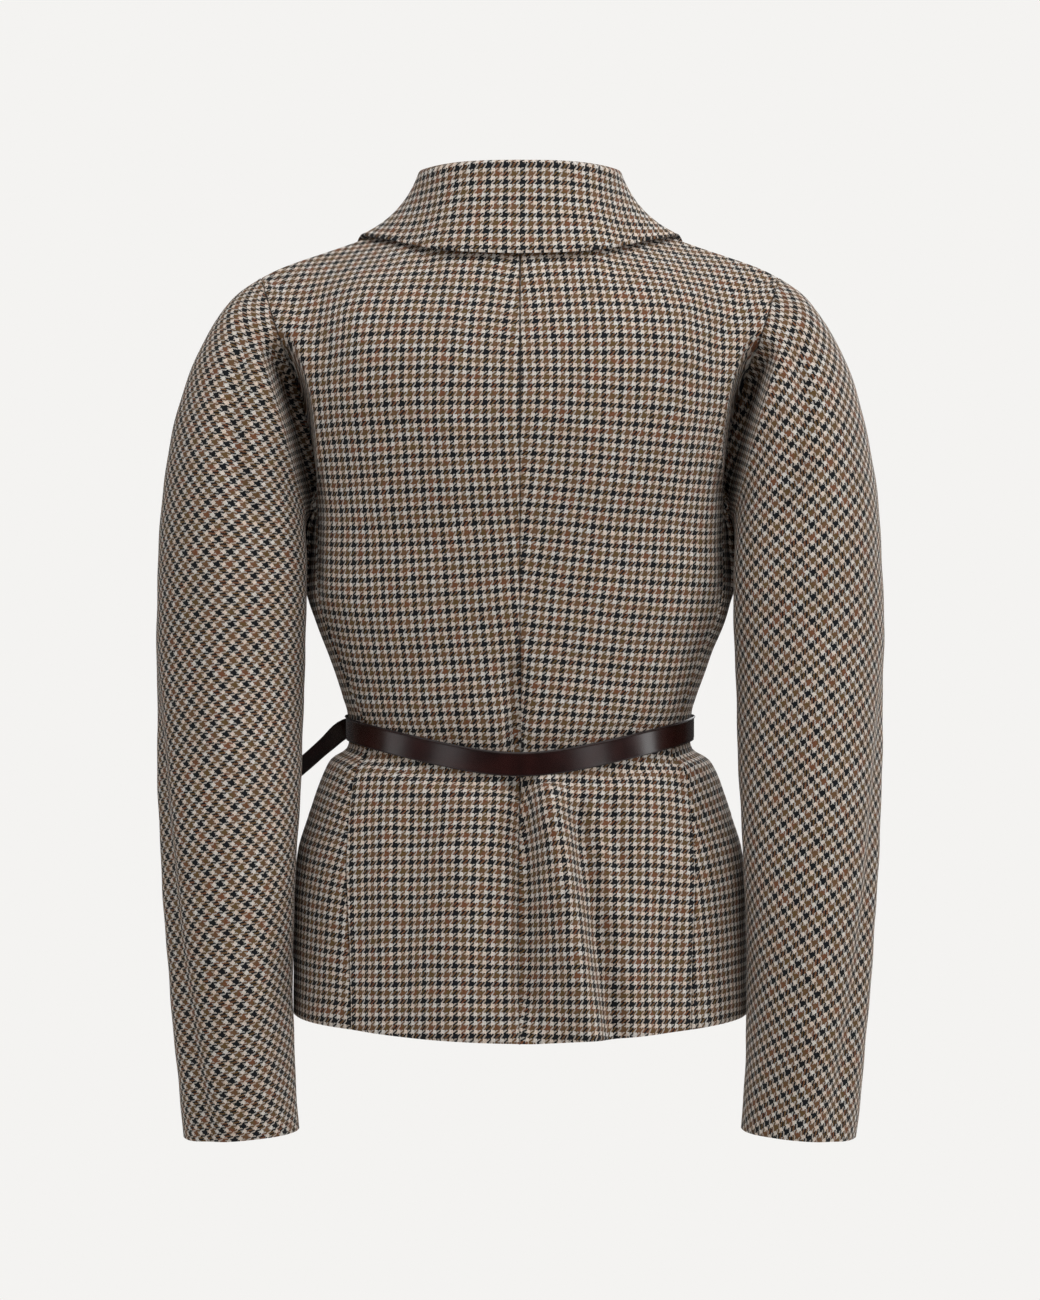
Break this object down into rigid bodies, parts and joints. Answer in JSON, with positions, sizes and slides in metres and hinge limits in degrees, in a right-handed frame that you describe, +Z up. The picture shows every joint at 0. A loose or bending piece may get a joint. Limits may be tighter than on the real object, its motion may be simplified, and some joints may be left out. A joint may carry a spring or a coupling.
{
  "type": "houndstooth jacket",
  "caption": "Hip-length belted jacket in houndstooth wool, in its hollow worn form: turned-down collar, set-in long sleeves, wrap front, panelled back and a thin leather belt at the waist.",
  "frame": {"origin": "the middle of the neck opening, level with the neck ends of the shoulder seams, where the wearer's shoulders carry the jacket", "axes": "+Z up, -Y the way the wearer faces, +X the wearer's left"},
  "size_m": [0.5498, 0.2612, 0.7344],
  "materials": {
    "wool": "woven wool, small houndstooth check in near-black, brown and cream",
    "belt_leather": "smooth dark burgundy-brown leather, semi-gloss",
    "buckle_metal": "polished, slightly worn"
  },
  "bodies": {
    "root": {"back_left": "wool", "back_right": "wool", "side_left": "wool", "side_right": "wool", "front_left": "wool", "front_right": "wool", "sleeve_left": "wool", "sleeve_right": "wool", "collar": "wool", "belt": "belt_leather", "belt_keeper": "belt_leather", "buckle": "buckle_metal"}
  },
  "joints": []
}
